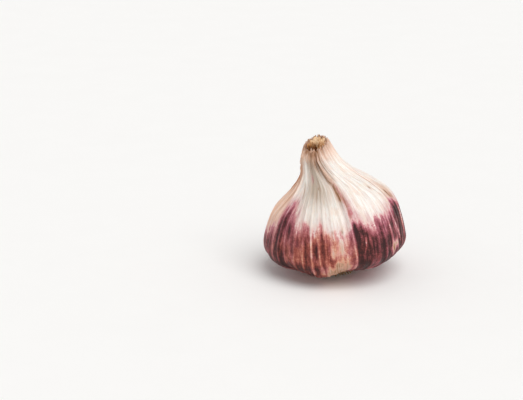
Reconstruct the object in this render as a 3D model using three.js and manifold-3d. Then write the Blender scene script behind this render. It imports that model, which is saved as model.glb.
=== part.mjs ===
// A garlic bulb, hardneck type, dry and trimmed, standing on its root plate.
// Millimetres, +Z up. The origin is the middle of the root plate's flat underside, -Y is the
// bulb's front and +X its fuller side. Azimuths are in degrees, from the front towards +X.
//
// Three pieces have grown together, and differ in make-up and colour:
//   bulb_wrapper     the papery skin drawn over the cloves and up round the neck
//   dried_neck_core  the dead stalk and leaf bases that fill the cut end of the neck
//   root_plate       the corky basal plate with its trimmed roots
import * as THREE from "three";
import { mergeVertices } from "three/addons/utils/BufferGeometryUtils.js";
import Module from "manifold-3d";

const wasm = await Module();
wasm.setup();

// Driving dimensions
const NECK_TOP = 53.2; // height of the middle of the cut through the neck
const NECK_RIM = 4.9; // and its radius
const NECK_LEAN = -7.4; // how far the neck's end leans along X
const LEAN_POWER = 1.7;
const WAIST_TILT = 0.108; // rise of the waist per millimetre along X
const TILT_FROM = 12; // the tilt is full above this height
const DEPTH_SHARE = 0.97; // the bulb is a little less deep than wide
const GAP = 0.3; // kept between the three pieces

// Half outlines as radius and height, from the rim of the root hollow up to the neck's rim.
// On the slack side the skin hugs the neck. On the fuller side it is drawn straight from the
// neck to a high shoulder, like a tent.
const SLACK_SIDE = [
  [9.4, 2.8], [10.0, 2.5], [12.0, 3.4], [16.0, 5.5], [21.0, 7.6], [24.6, 10.8], [25.6, 14.8],
  [23.9, 21.0], [20.7, 27.0], [15.1, 32.3], [10.5, 36.8], [7.6, 41.4], [6.8, 46.0], [6.4, 50.0],
  [NECK_RIM, NECK_TOP],
];
const TENTED_SIDE = [
  [9.4, 2.8], [10.0, 2.5], [12.0, 3.4], [16.0, 5.5], [22.8, 7.1], [28.0, 10.7], [28.4, 14.8],
  [27.8, 21.0], [26.6, 26.6], [23.8, 31.8], [19.1, 36.4], [13.6, 40.6], [9.3, 44.8], [6.8, 49.0],
  [NECK_RIM, NECK_TOP],
];
const TENT_FACES = 88;
const TENT_POWER = 1.3;

// The hollow round the roots
const HOLLOW_RIM = 9.4;
const HOLLOW_ROOF = 3.7;

// The cloves under the skin. Each runs from its own valley to the next one's, and bulges the
// skin at its foot, its waist and its shoulder.
const CLOVES = [
  { valley: -48, foot: 3.0, waist: 0.8, shoulder: 0.5 },
  { valley: 13, foot: 0.1, waist: 1.3, shoulder: 1.0 },
  { valley: 72, foot: 2.4, waist: 1.0, shoulder: 0.6 },
  { valley: 112, foot: 2.8, waist: 1.2, shoulder: 0.8 },
  { valley: 158, foot: 3.1, waist: 1.3, shoulder: 1.0 },
  { valley: 205, foot: 2.8, waist: 1.0, shoulder: 0.6 },
  { valley: 244, foot: 3.1, waist: 1.2, shoulder: 1.0 },
  { valley: 279, foot: 3.0, waist: 1.0, shoulder: 0.7 },
];
const FOOT_AT = { z: 3, reach: 6 }; // height of that bulge, and how far it reaches up and down
const WAIST_AT = { z: 14, reach: 11 };
const SHOULDER_AT = { z: 31, reach: 9 };
const FOOT_ROUNDNESS = 1.2;
const BODY_ROUNDNESS = 0.7;
const BULGES_FROM = 0.02; // shares of the way up the skin between which the bulges grow in
const BULGES_FULL_AT = 0.24;

// Pleats of the neck: how many go round, how deep they are and where they start, in radians
const PLEATS = [
  { count: 9, depth: 0.42, start: 1.1 },
  { count: 14, depth: 0.3, start: 0.4 },
  { count: 23, depth: 0.18, start: 0 },
];
const PLEATS_FROM = 30;
const PLEATS_FULL_AT = 44;
const PLEATS_FADE_FROM = 47;
const PLEATS_FADE = 0.65;

// Raised veins run from the roots to the neck. The first is the standing fold where the outer
// leaf's margin laps the next one, and another carries the loose, curled margin on the left.
const VEINS = 50;
const VEIN_HEIGHT = 0.34;
const VEIN_PLAY = 2.6; // how unevenly the veins are set apart, in degrees
const FOLD_AT = 17;
const FOLD_HEIGHT = 0.8;
const LAP = 0.35; // thickness of the outer leaf beside the fold
const LAP_REACH = [60, 120]; // how far round the leaf keeps that thickness, and where it ends
const LOOSE_VEIN = 39;
const LOOSE_HEIGHT = 1.3;
const NECK_SWAY = -22; // the front veins swing round by this on their way up the neck
const SWAY_FROM = 37;
const SWAY_FULL_AT = 50;
const SWAY_REACH = 45;
const SKIN_ROWS = 46;

// The cut through the neck, which is lower on the side that it faces
const CUT_FACES = -35;
const CUT_SLOPE = 2.0;
const CUT_FROM = 45; // the skin below this height doesn't feel the cut
const RAGGED = 1.0; // unevenness of the torn rim
const CUP_RADIUS = 4.0;
const CUP_DEPTH = 3.4;
const CUP_WALL = CUP_DEPTH - 0.5; // depth of the cup at its wall

// The dead leaf base in the cup, and the sheaths and shreds that stand in it. A sheath has a mean
// radius, the lobes of its crumpled outline, and its reach above the cut.
const PLUG_TOP = 1.9; // depth below the cut
const SHEATHS = [
  { radius: 3.25, lobes: 5, reach: 0.2 },
  { radius: 2.15, lobes: 4, reach: 0.6 },
  { radius: 1.0, lobes: 3, reach: 0.4 },
];
const SHEATH_FOOT = 2.4;
const SHEATH_THICKNESS = 0.7;
const SHEATH_FRAY = 0.9;
const SHEATH_COLUMNS = 40;
const SHREDS = 11;
const SHRED_FOOT = 2.3;
const SHRED_WIDTH = 1.1;
const SHRED_TIP = 0.62;

// The root plate
const PLATE_OUTLINE = [[5.3, 0], [6.4, 0.3], [7.6, 1.2], [8.2, 2.2], [8.0, 2.9]];
const PLATE_ROUGHNESS = 0.3;
const PLATE_COLUMNS = 48;
const ROOT_RINGS = [
  { count: 20, radius: 6.3, lean: 12, length: 1.7 },
  { count: 27, radius: 7.4, lean: 38, length: 2.3 },
];
const ROOT_THICKNESS = 0.84;
const ROOT_START = 2.0; // height at which a root leaves the plate
const ROOT_SUNK = 0.5;
const ROOT_CLEARANCE = 0.12; // kept between a root's end and the surface

const radians = THREE.MathUtils.degToRad;
const smooth = THREE.MathUtils.smoothstep;
const bell = (x, middle, width) => Math.exp(-(((x - middle) / width) ** 2));
const turned = (degrees) => THREE.MathUtils.euclideanModulo(degrees, 360);
const apart = (a, b) => turned(a - b + 180) - 180;

// A draw from 0 to 1 that is the same on every run
function draw(index, seed) {
  const x = Math.sin(index * 12.9898 + seed * 78.233) * 43758.5453;
  return x - Math.floor(x);
}

// A point on the ring of this radius and height
function around(azimuth, radius, z) {
  const a = radians(azimuth);
  return new THREE.Vector3(radius * Math.sin(a), -radius * Math.cos(a) * DEPTH_SHARE, z);
}

// The neck leans, the waist tilts, and nothing goes below the surface that the bulb stands on.
function settle(point) {
  const { x, y, z } = point;
  const tilted = z + WAIST_TILT * smooth(z, 0, TILT_FROM) * x;
  const lean = NECK_LEAN * (Math.max(z, 0) / NECK_TOP) ** LEAN_POWER;
  return new THREE.Vector3(x + lean, y, Math.max(tilted, 0));
}

// A closed mesh from rings of points that run from the underside to the top, with a single
// point before the first ring and after the last
function closedRings(start, rings, end) {
  const across = rings[0].length;
  const points = [start, ...rings.flat(), end];
  const at = (row, column) => 1 + row * across + (column % across);
  const last = rings.length - 1;
  const faces = [];
  for (let c = 0; c < across; c++) {
    faces.push(0, at(0, c + 1), at(0, c));
    for (let row = 0; row < last; row++) {
      faces.push(at(row, c), at(row, c + 1), at(row + 1, c + 1));
      faces.push(at(row, c), at(row + 1, c + 1), at(row + 1, c));
    }
    faces.push(points.length - 1, at(last, c), at(last, c + 1));
  }
  const geometry = new THREE.BufferGeometry().setFromPoints(points);
  geometry.setIndex(faces);
  return geometry;
}

// A closed wall that stands on an unbroken loop, from four rings: outer foot, outer top, inner
// top and inner foot
function closedWall(rings) {
  const across = rings[0].length;
  const at = (row, column) => (row % rings.length) * across + (column % across);
  const faces = [];
  for (let c = 0; c < across; c++) {
    for (let row = 0; row < rings.length; row++) {
      faces.push(at(row, c), at(row, c + 1), at(row + 1, c + 1));
      faces.push(at(row, c), at(row + 1, c + 1), at(row + 1, c));
    }
  }
  const geometry = new THREE.BufferGeometry().setFromPoints(rings.flat());
  geometry.setIndex(faces);
  return geometry;
}

// A stub that thins from its foot to a blunt tip
function taper(foot, tip, footWidth, tipWidth, sides) {
  const length = foot.distanceTo(tip);
  const geometry = new THREE.CylinderGeometry(tipWidth / 2, footWidth / 2, length, sides);
  const direction = new THREE.Vector3().subVectors(tip, foot).normalize();
  const turn = new THREE.Quaternion().setFromUnitVectors(THREE.Object3D.DEFAULT_UP, direction);
  geometry.applyQuaternion(turn);
  const middle = new THREE.Vector3().addVectors(foot, tip).multiplyScalar(0.5);
  geometry.translate(middle.x, middle.y, middle.z);
  return geometry;
}

function solidOf(geometry) {
  const bare = new THREE.BufferGeometry();
  bare.setAttribute("position", geometry.getAttribute("position"));
  bare.setIndex(geometry.index);
  const merged = mergeVertices(bare, 1e-4);
  const vertProperties = new Float32Array(merged.attributes.position.array);
  const triVerts = new Uint32Array(merged.index.array);
  return new wasm.Manifold(new wasm.Mesh({ numProp: 3, vertProperties, triVerts }));
}

function geometryOf(solid) {
  const { vertProperties, triVerts } = solid.getMesh();
  const geometry = new THREE.BufferGeometry();
  geometry.setAttribute("position", new THREE.BufferAttribute(vertProperties, 3));
  geometry.setIndex(new THREE.BufferAttribute(triVerts, 1));
  geometry.computeVertexNormals();
  return geometry;
}

function joined(geometries) {
  return geometryOf(geometries.map(solidOf).reduce((whole, piece) => whole.add(piece)));
}

// The same azimuths for every ring of a round piece
const azimuthsOf = (count) => Array.from({ length: count }, (_, i) => (i * 360) / count);

const outline = (points) => new THREE.SplineCurve(points.map(([r, z]) => new THREE.Vector2(r, z)));
const slackSide = outline(SLACK_SIDE);
const tentedSide = outline(TENTED_SIDE);

// The veins, evenly set apart from a little play, and two of them singled out
const veins = Array.from({ length: VEINS }, (_, i) => {
  const azimuth = FOLD_AT + (i * 360) / VEINS + VEIN_PLAY * (draw(i, 1) - 0.5);
  return { azimuth, height: VEIN_HEIGHT * (0.45 + draw(i, 2)) };
});
veins[0] = { azimuth: FOLD_AT, height: FOLD_HEIGHT };
veins[LOOSE_VEIN].height = LOOSE_HEIGHT;

// Columns of the skin's mesh: one on each vein, and one in the furrow that follows it
const columns = veins.flatMap((vein, i) => {
  const next = i + 1 < VEINS ? veins[i + 1].azimuth : FOLD_AT + 360;
  return [
    { azimuth: vein.azimuth, vein: i },
    { azimuth: (vein.azimuth + next) / 2, vein: -1 },
  ];
});

const at = (z, place) => bell(z, place.z, place.reach);

// How far the cloves push the skin out here
function cloveBulge(azimuth, z) {
  return CLOVES.reduce((sum, clove, i) => {
    const span = turned(CLOVES[(i + 1) % CLOVES.length].valley - clove.valley);
    const share = turned(azimuth - clove.valley) / span;
    if (share >= 1) return sum;
    const arch = Math.sin(Math.PI * share);
    const foot = clove.foot * at(z, FOOT_AT);
    const body = clove.waist * at(z, WAIST_AT) + clove.shoulder * at(z, SHOULDER_AT);
    return sum + foot * arch ** FOOT_ROUNDNESS + body * arch ** BODY_ROUNDNESS;
  }, 0);
}

// The pleats deepen from the shoulder up and fade at the rim.
function pleats(azimuth, z) {
  const waves = PLEATS.map(({ count, depth, start }) => depth * Math.cos(count * radians(azimuth) + start));
  const fade = 1 - PLEATS_FADE * smooth(z, PLEATS_FADE_FROM, NECK_TOP);
  return waves.reduce((sum, wave) => sum + wave, 0) * smooth(z, PLEATS_FROM, PLEATS_FULL_AT) * fade;
}

// The fold rises from the waist up, the loose margin from the shoulder up, and the other veins
// from the foot up, fainter along the neck.
function veinRise(index, z) {
  if (index < 0) return 0;
  const { height } = veins[index];
  if (index === 0) return height * smooth(z, 8, 15) * (1 - 0.5 * smooth(z, 44, NECK_TOP));
  if (index === LOOSE_VEIN) return height * smooth(z, 26, 42);
  return height * smooth(z, 1.5, 6) * (1 - 0.65 * smooth(z, 30, 46));
}

// Beside the fold the outer leaf lies on top, and thins out to nothing further round.
function leafLap(azimuth, z) {
  const past = turned(azimuth - FOLD_AT);
  return past < 180 ? LAP * (1 - smooth(past, ...LAP_REACH)) * smooth(z, 6, TILT_FROM) : 0;
}

// Height of the slanting cut above its middle, at this place across the neck
function cutSlant(azimuth, radius) {
  return -CUT_SLOPE * (radius / NECK_RIM) * Math.cos(radians(azimuth - CUT_FACES));
}

// A point inside the neck, this far below the cut
function neckPoint(azimuth, radius, below) {
  return settle(around(azimuth, radius, NECK_TOP - below + cutSlant(azimuth, radius)));
}

// How far the torn rim stands up at this column
const torn = (column) => RAGGED * (draw(column, 3) - 0.5);

// The front columns swing round on their way up the neck.
function swayed(azimuth, z) {
  const share = smooth(z, SWAY_FROM, SWAY_FULL_AT) * bell(apart(azimuth, FOLD_AT), 0, SWAY_REACH);
  return azimuth + NECK_SWAY * share;
}

// A point of the skin: t runs from 0, at the rim of the root hollow, to 1, at the neck's rim.
function skinPoint(column, index, t) {
  const share = (0.5 + 0.5 * Math.cos(radians(column.azimuth - TENT_FACES))) ** TENT_POWER;
  const p = slackSide.getPoint(t).lerp(tentedSide.getPoint(t), share);
  const along = slackSide.getTangent(t).lerp(tentedSide.getTangent(t), share).normalize();
  const bulge = cloveBulge(column.azimuth, p.y) * smooth(t, BULGES_FROM, BULGES_FULL_AT);
  const relief = pleats(column.azimuth, p.y) + veinRise(column.vein, p.y) + leafLap(column.azimuth, p.y);
  const out = bulge + relief;
  const azimuth = swayed(column.azimuth, p.y);
  const z = p.y - along.x * out;
  const cut = (cutSlant(azimuth, NECK_RIM) + torn(index)) * smooth(p.y, CUT_FROM, NECK_TOP);
  return settle(around(azimuth, p.x + along.y * out, z + cut));
}

function bulbWrapper() {
  const ring = (place) => columns.map(({ azimuth }, i) => place(azimuth, i));
  const inNeck = (radius, below) =>
    ring((azimuth, i) => neckPoint(swayed(azimuth, NECK_TOP), radius, below(i)));
  const skin = Array.from({ length: SKIN_ROWS + 1 }, (_, row) =>
    columns.map((column, i) => skinPoint(column, i, row / SKIN_ROWS)),
  );
  const rings = [
    ring((azimuth) => around(azimuth, HOLLOW_RIM * 0.5, HOLLOW_ROOF)),
    ring((azimuth) => around(azimuth, HOLLOW_RIM - 0.5, HOLLOW_ROOF - 0.2)),
    ...skin,
    inNeck(CUP_RADIUS + 0.1, (i) => 0.1 - torn(i)),
    inNeck(CUP_RADIUS, () => CUP_WALL),
    inNeck(CUP_RADIUS * 0.5, () => CUP_DEPTH),
  ];
  const roof = new THREE.Vector3(0, 0, HOLLOW_ROOF);
  return geometryOf(solidOf(closedRings(roof, rings, neckPoint(0, 0, CUP_DEPTH))));
}

// The dead leaf base at the bottom of the cup, in which the sheaths and shreds stand
function corePlug() {
  const radius = CUP_RADIUS - GAP;
  const ring = (r, below) => azimuthsOf(SHEATH_COLUMNS).map((azimuth) => neckPoint(azimuth, r, below));
  const bottom = CUP_DEPTH - GAP;
  const rings = [
    ring(radius * 0.5, bottom),
    ring(radius - 0.1, CUP_WALL - GAP - 0.1),
    ring(radius, PLUG_TOP - GAP),
    ring(radius * 0.5, PLUG_TOP),
  ];
  return closedRings(neckPoint(0, 0, bottom), rings, neckPoint(0, 0, PLUG_TOP));
}

// One crumpled sheath with a torn upper edge that stands highest away from the cut's low side
function coreSheath({ radius, lobes, reach }, index) {
  const crumpled = (azimuth) => {
    const a = radians(azimuth);
    return radius + 0.3 * Math.cos(lobes * a + index) + 0.12 * Math.cos((2 * lobes + 1) * a + 2 * index);
  };
  const top = (azimuth, i) => {
    const away = 0.5 - 0.5 * Math.cos(radians(azimuth - CUT_FACES));
    return -(reach * away + SHEATH_FRAY * (draw(i, 11 + index) - 0.5));
  };
  const ring = (inset, below) =>
    azimuthsOf(SHEATH_COLUMNS).map((azimuth, i) =>
      neckPoint(azimuth, crumpled(azimuth) - inset, below(azimuth, i)),
    );
  const foot = () => SHEATH_FOOT;
  const half = SHEATH_THICKNESS / 2;
  return closedWall([ring(-half, foot), ring(-half, top), ring(half, top), ring(half, foot)]);
}

// One frayed fibre bundle, leaning a little outwards and to one side
function coreShred(i) {
  const azimuth = (i * 360) / SHREDS + 14 * draw(i, 21);
  const radius = 0.9 + 2.3 * draw(i, 22);
  const aside = 16 * (draw(i, 23) - 0.5);
  const outwards = 0.6 * draw(i, 24);
  const above = 0.3 + 0.9 * draw(i, 25);
  const foot = neckPoint(azimuth, radius, SHRED_FOOT);
  const tip = neckPoint(azimuth + aside, radius + outwards, -above);
  return taper(foot, tip, SHRED_WIDTH, SHRED_TIP, 5);
}

function driedNeckCore() {
  const shreds = Array.from({ length: SHREDS }, (_, i) => coreShred(i));
  return joined([corePlug(), ...SHEATHS.map(coreSheath), ...shreds]);
}

// The disc is flat and round where the bulb stands on it, and rough higher up.
function plateDisc() {
  const rough = (row, i) => (row ? PLATE_ROUGHNESS * (draw(i, 31 + row) - 0.5) : 0);
  const rings = PLATE_OUTLINE.map(([radius, z], row) =>
    azimuthsOf(PLATE_COLUMNS).map((azimuth, i) => around(azimuth, radius + rough(row, i), z)),
  );
  const [, top] = PLATE_OUTLINE.at(-1);
  return closedRings(new THREE.Vector3(0, 0, 0), rings, new THREE.Vector3(0, 0, top));
}

// One trimmed root, sunk well into the plate and cut off just above the surface it stands on
function rootStub({ count, radius, lean, length }, i, ringIndex) {
  const seed = 41 + 10 * ringIndex;
  const azimuth = ((i + 0.6 * (draw(i, seed) - 0.5)) * 360) / count;
  const tilt = radians(lean + 16 * (draw(i, seed + 1) - 0.5));
  const start = radius - ROOT_SUNK;
  const foot = around(azimuth, start, ROOT_START);
  const reach = length * (0.8 + 0.3 * draw(i, seed + 2));
  const tip = around(azimuth, start + reach * Math.sin(tilt), ROOT_START - reach * Math.cos(tilt));
  tip.z = Math.max(tip.z, ROOT_CLEARANCE + ROOT_THICKNESS * 0.5 * Math.sin(tilt));
  return taper(foot, tip, ROOT_THICKNESS, ROOT_THICKNESS * 0.8, 6);
}

function rootPlate() {
  const roots = ROOT_RINGS.flatMap((ring, ringIndex) =>
    Array.from({ length: ring.count }, (_, i) => rootStub(ring, i, ringIndex)),
  );
  return joined([plateDisc(), ...roots]);
}

function piece(name, geometry, color, roughness) {
  const material = new THREE.MeshStandardMaterial({ color, roughness, metalness: 0 });
  const mesh = new THREE.Mesh(geometry, material);
  mesh.name = name;
  return mesh;
}

const group = new THREE.Group();
group.name = "garlic_bulb";
group.add(piece("bulb_wrapper", bulbWrapper(), "#cdb4a8", 0.5));
group.add(piece("dried_neck_core", driedNeckCore(), "#b58a55", 0.85));
group.add(piece("root_plate", rootPlate(), "#b79a74", 0.9));

export default group;
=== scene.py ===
"""Looks for the garlic bulb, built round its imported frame.

The skin, the dried core of the neck and the root plate are rebuilt finer by the same formulas as
the frame's, in millimetres, and turned into metres when a mesh is made. Azimuths are in degrees
from the bulb's front, which is -Y, towards +X. Up the skin runs a share from 0, at the rim of the
root hollow, to 1, at the rim of the neck.
"""

import math

import bpy
import numpy as np
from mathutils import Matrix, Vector


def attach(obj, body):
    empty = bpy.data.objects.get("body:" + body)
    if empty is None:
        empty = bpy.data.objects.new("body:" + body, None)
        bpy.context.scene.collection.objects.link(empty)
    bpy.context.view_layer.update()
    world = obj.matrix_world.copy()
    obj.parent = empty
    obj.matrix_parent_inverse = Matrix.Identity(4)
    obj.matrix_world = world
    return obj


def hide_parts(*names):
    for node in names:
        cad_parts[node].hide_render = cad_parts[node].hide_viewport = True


MM = 0.001

# Shape of the bulb, as in the frame
NECK_TOP = 53.2
NECK_RIM = 4.9
NECK_LEAN = -7.4
LEAN_POWER = 1.7
WAIST_TILT = 0.108
TILT_FROM = 12.0
DEPTH_SHARE = 0.97
SLACK_SIDE = [
    (9.4, 2.8), (10, 2.5), (12, 3.4), (16, 5.5), (21, 7.6), (24.6, 10.8), (25.6, 14.8),
    (23.9, 21), (20.7, 27), (15.1, 32.3), (10.5, 36.8), (7.6, 41.4), (6.8, 46), (6.4, 50),
    (NECK_RIM, NECK_TOP),
]
TENTED_SIDE = [
    (9.4, 2.8), (10, 2.5), (12, 3.4), (16, 5.5), (22.8, 7.1), (28, 10.7), (28.4, 14.8),
    (27.8, 21), (26.6, 26.6), (23.8, 31.8), (19.1, 36.4), (13.6, 40.6), (9.3, 44.8), (6.8, 49),
    (NECK_RIM, NECK_TOP),
]
TENT_FACES = 88.0
TENT_POWER = 1.3
HOLLOW_RIM = 9.4
HOLLOW_ROOF = 3.7
CLOVES = [  # valley before the clove, then how far it bulges at its foot, waist and shoulder
    (-48, 3.0, 0.8, 0.5),
    (13, 0.1, 1.3, 1.0),
    (72, 2.4, 1.0, 0.6),
    (112, 2.8, 1.2, 0.8),
    (158, 3.1, 1.3, 1.0),
    (205, 2.8, 1.0, 0.6),
    (244, 3.1, 1.2, 1.0),
    (279, 3.0, 1.0, 0.7),
]
FOOT_AT = (3.0, 6.0)  # height of that bulge, and how far it reaches up and down
WAIST_AT = (14.0, 11.0)
SHOULDER_AT = (31.0, 9.0)
FOOT_ROUNDNESS = 1.2
BODY_ROUNDNESS = 0.7
BULGES_FROM = 0.02  # shares up the skin between which the bulges grow in
BULGES_FULL_AT = 0.24
PLEATS = [(9, 0.42, 1.1), (14, 0.3, 0.4), (23, 0.18, 0.0)]  # how many, how deep, and their start
PLEATS_FROM = 30.0
PLEATS_FULL_AT = 44.0
PLEATS_FADE_FROM = 47.0
PLEATS_FADE = 0.65
VEINS = 50
VEIN_HEIGHT = 0.34
VEIN_SHARES = (0.45, 1.45)  # of that height, for the lowest and the highest vein
VEIN_WIDTH = 1.3  # half widths of veins, creases and patches are in degrees
VEIN_PLAY = 2.6  # how unevenly the veins are set apart
FOLD_AT = 17.0
FOLD_HEIGHT = 0.8
FOLD_WIDTHS = (0.8, 2.4)  # before its crest and beyond it
LAP = 0.35  # thickness of the outer leaf beside the fold
LAP_REACH = (60.0, 120.0)
LAP_EDGE = 0.8  # degrees over which it sets in at the fold
LAP_FROM = 6.0
LOOSE_VEIN = 39
LOOSE_HEIGHT = 1.3
LOOSE_WIDTH = 2.6
LOOSE_RISES = (26.0, 42.0)
NECK_SWAY = -22.0
SWAY_FROM = 37.0
SWAY_FULL_AT = 50.0
SWAY_REACH = 45.0
CUT_FACES = -35.0
CUT_SLOPE = 2.0
CUT_FROM = 45.0
RAGGED = 1.0
CUP_RADIUS = 4.0
CUP_DEPTH = 3.4

# Rings that close the skin: the root hollow's by radius and height, from the middle out, and those of
# the cup in the neck by radius and depth below the cut, from the lip in
HOLLOW_RINGS = [
    (0.5, HOLLOW_ROOF), (HOLLOW_RIM / 2, HOLLOW_ROOF), (HOLLOW_RIM - 0.5, HOLLOW_ROOF - 0.2),
]
CUP_LIP = CUP_RADIUS + 0.6
LIP_BELOW = 0.06
# Painted shade in the cup inside the neck
CUP_SHADE = 0.8
CUP_RINGS = [
    (CUP_RADIUS + 0.4, 0.9), (CUP_RADIUS + 0.05, CUP_DEPTH - 0.5), (CUP_RADIUS / 2, CUP_DEPTH),
    (0.3, CUP_DEPTH),
]

# Fineness of the skin
COLUMNS = 450
ROWS = 184
FINE_VEINS = 3  # between two of the main veins
FINE_VEIN_HEIGHT = 0.09
FINE_VEIN_SHARES = (0.3, 1.3)
FINE_VEIN_WIDTH = 0.75
FINE_VEIN_PLAY = 0.2
CRINKLE_HEIGHTS = (0.22, 0.16)  # of the broad and the narrow unevenness
RIB_HEIGHT = 0.14

# Noises over the skin and the root plate, as seed, cells all the way round and length of a cell up it
BROAD_CRINKLE = (51, 36, 0.06)
NARROW_CRINKLE = (61, 110, 0.03)
HIDDEN_RIBS = (71, 70, 0.3)
RAGGED_PURPLE = (81, 170, 0.05)
BROAD_PURPLE = (91, 64, 0.09)
CLOUDY_PURPLE = (95, 34, 0.07)
CLOUDY_WARMTH = (97, 40, 0.08)
BARE_EDGES = (98, 120, 0.03)
PINK_STREAKS = (101, 170, 0.08)
TAN_PATCHES = (111, 60, 0.12)
BLOTS = (121, 90, 0.2)
FLECKS = (131, 300, 0.012)
CORK_BUMPS = (241, 60, 0.1)

# Creases, as azimuth at foot and head, half width, share from and to, depth and painted shade
CREASES = [
    (14.2, 13.4, 2, 0.77, 0.97, 0.3, 0.85), (25, 24, 1.3, 0.77, 0.97, 0.25, 0.6),
    (19.6, 21.4, 0.8, 0.575, 0.7, 0.12, 0.55), (34, 31, 1.2, 0.73, 0.93, 0.2, 0.4),
    (-27.2, -26, 1, 0.8, 0.87, 0.2, 0.7), (-39.6, -46.8, 1, 0.67, 0.76, 0.2, 0.75),
    (-13.6, -13.2, 0.9, 0.675, 0.725, 0.1, 0.5), (-31, -33, 0.9, 0.62, 0.7, 0.1, 0.3),
    (-21, -19, 1.2, 0.84, 0.95, 0.2, 0.3), (-4, -8, 1, 0.66, 0.78, 0.12, 0.25),
    (6, 4, 1, 0.8, 0.93, 0.2, 0.4), (47, 40, 0.9, 0.66, 0.86, 0.12, 0.25),
    (66, 55, 0.9, 0.64, 0.84, 0.12, 0.3), (-66, -63, 2.6, 0.74, 0.95, 0.25, 0.85),
    (-74, -72, 1, 0.56, 0.74, 0.15, 0.4), (81, 77, 1.6, 0.6, 0.66, 0.1, 0.6),
    (112, 108, 1.2, 0.58, 0.92, 0.2, 0.4), (156, 160, 1.2, 0.55, 0.94, 0.25, 0.5),
    (204, 200, 1.3, 0.56, 0.93, 0.25, 0.5), (245, 240, 1.1, 0.6, 0.92, 0.2, 0.4),
]

# Veins that show pale through the purple, as azimuth at foot and head, half width, share from and
# to, and strength
PALE_RIBS = [
    (-52, -50, 0.8, 0.42, 0.54, 0.5), (-46.5, -46, 0.9, 0.36, 0.5, 0.4),
    (-34, -33, 0.8, 0.4, 0.55, 0.35), (-26.5, -25, 0.8, 0.38, 0.47, 0.5),
    (-17.7, -18.1, 1, 0.31, 0.58, 0.85), (-9.2, -12, 1, 0.3, 0.51, 0.85),
    (-3, -4, 0.9, 0.33, 0.45, 0.5), (8.2, 6.2, 1, 0.36, 0.6, 0.85), (18.6, 17, 1.1, 0.31, 0.66, 0.95),
    (25.8, 28.2, 0.7, 0.43, 0.49, 0.9), (34, 35, 0.7, 0.36, 0.46, 0.4), (41, 42, 0.7, 0.4, 0.54, 0.35),
    (48.8, 46.8, 0.8, 0.48, 0.58, 0.6), (54.4, 52.8, 1.1, 0.45, 0.58, 0.95),
    (68.8, 61, 1.3, 0.4, 0.56, 1), (72, 71, 1, 0.44, 0.62, 0.8), (80, 83, 1.4, 0.41, 0.66, 0.9),
]

# The purple by azimuth: share up the skin where it ends, over how much of it that it deepens, and
# how deep it gets
PURPLE_TOP = [
    (-180, 0.6), (-150, 0.57), (-125, 0.6), (-100, 0.5), (-85, 0.51), (-70, 0.525), (-65, 0.55),
    (-61, 0.6), (-57, 0.635), (-48, 0.655), (-42, 0.64), (-35, 0.6), (-30, 0.575), (-24, 0.565),
    (-18, 0.54), (-14, 0.545), (-10, 0.57), (-6, 0.54), (4, 0.542), (12, 0.535), (17, 0.55), (21, 0.57),
    (28, 0.556), (35, 0.556), (44, 0.566), (54, 0.568), (64, 0.585), (76, 0.6), (90, 0.57), (120, 0.58),
    (150, 0.62), (180, 0.6),
]
PURPLE_RISE = [
    (-180, 0.08), (-90, 0.06), (-60, 0.1), (-40, 0.1), (-20, 0.08), (14, 0.07), (19, 0.03), (29, 0.05),
    (40, 0.1), (50, 0.05), (180, 0.08),
]
PURPLE_STRENGTH = [
    (-180, 0.74), (-100, 0.76), (-75, 0.74), (-45, 0.68), (-25, 0.62), (-12, 0.71), (0, 0.61),
    (10, 0.52), (15, 0.56), (20, 0.92), (27, 0.88), (36, 0.78), (46, 0.86), (50, 1), (62, 0.9),
    (75, 0.86), (95, 0.8), (140, 0.76), (180, 0.74),
]
PURPLE_EDGE = (-0.025, 0.015)  # its upper edge grows in over these shares
EDGE_DEPTH = 0.4  # part of the purple that is there from its edge on
DEEPEST = 1.1

# Soft zones of colour, as middle azimuth and half width, then the shares up the skin at which the
# zone starts, is full, starts to fade and ends
# Painted shade low in front, under the bulb
SHADED_FOOT = (-30.0, 50.0, 0.15, 0.25, 0.34, 0.42)
FLUSH_BESIDE_FOLD = (22.0, 5.0, 0.52, 0.58, 0.66, 0.76)
FLUSH_ON_FOLD = (18.5, 2.4, 0.56, 0.62, 0.74, 0.80)
TAN_ON_FOLD = (18.5, 4.5, 0.65, 0.69, 0.84, 0.90)
TAN_SHOULDER = (79.0, 9.0, 0.58, 0.62, 0.68, 0.78)
DIRTY_SHOULDER = (80.0, 7.0, 0.58, 0.63, 0.66, 0.74)
# Brown flecks and a painted shadow along the fold
FOLD_DIRT_AND_SHADOW = (0.0, 3.2, 0.62, 0.67, 0.80, 0.88)  # its azimuth is counted from the fold line
# The next two: painted shade in the front valley and up the neck
SHADED_FRONT = (-14.0, 27.0, 0.50, 0.60, 0.94, 0.99)
SHADED_NECK = (-14.0, 27.0, 0.60, 0.72, 0.94, 0.99)

# The line that the fold's brown flecks and painted shadow follow, as share and azimuth
FOLD_LINE = [(0.58, 20.5), (0.68, 18), (0.73, 17.5), (0.8, 19), (0.86, 22)]

# Soft ovals, as azimuth, half width, share up the skin and half height
BARE_FRONT = (5.0, 7.0, 0.455, 0.055)
BARE_SIDE = (56.5, 6.2, 0.41, 0.046)
BARE_SIDE_SLANT = 50.0  # degrees that this oval leans to the right, per share up the skin
FLUSH_LEFT = (-52.0, 12.0, 0.63, 0.05)
FLUSH_PATCH = (-22.4, 4.0, 0.79, 0.022)

# Heights and azimuths between which a colour grows in
UNDERSIDE = (0.34, 0.45)
TAN_NECK = (0.86, 0.97)
TORN_RIM = (0.94, 0.99)
LEFT_MARGIN = (56.0, 68.0, 120.0, 150.0)  # azimuths to the left: it grows in, then fades
OUT_OF_VIEW = (84.0, 97.0)  # azimuths to either side

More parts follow.
